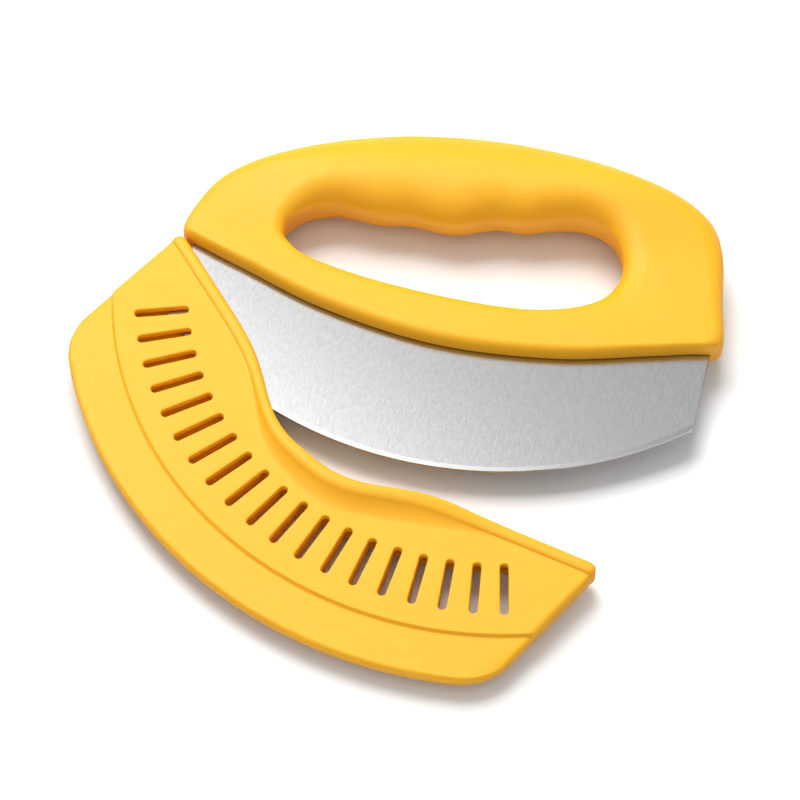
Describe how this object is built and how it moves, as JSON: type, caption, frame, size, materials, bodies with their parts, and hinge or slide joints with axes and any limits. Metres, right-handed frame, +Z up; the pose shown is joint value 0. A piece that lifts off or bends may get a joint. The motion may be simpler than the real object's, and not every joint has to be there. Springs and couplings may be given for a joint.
{
  "type": "pizza cutter",
  "caption": "Rocking pizza cutter with a curved steel blade, a hollow moulded D-handle with finger grooves and a slotted blade guard that swings off the blade.",
  "frame": {"origin": "centre of the footprint on the table that the cutter lies on", "axes": "+X along the handle, +Y from the cutting edge towards the grip, +Z up from the table"},
  "size_m": [0.2144, 0.2066, 0.0244],
  "materials": {
    "handle_plastic": "warm yellow moulded plastic, satin",
    "guard_plastic": "warm yellow moulded plastic, satin",
    "blade_steel": "stainless steel, brushed across the blade, ground edge",
    "pin_steel": "plain turned steel"
  },
  "bodies": {
    "cutter": {"handle_front_shell": "handle_plastic", "handle_back_shell": "handle_plastic", "blade": "blade_steel", "tang_pin_1": "pin_steel", "tang_pin_2": "pin_steel", "tang_pin_3": "pin_steel", "tang_pin_4": "pin_steel", "tang_pin_5": "pin_steel"},
    "guard": {"guard_front_plate": "guard_plastic", "guard_back_plate": "guard_plastic"}
  },
  "joints": [
    {"name": "guard_swing", "type": "hinge", "parent": "cutter", "child": "guard", "pos_m": [-0.08005, 0.03899, 0.01063], "axis": [0, 0.0345, -0.9994], "range_deg": [-28.4, 33]}
  ]
}
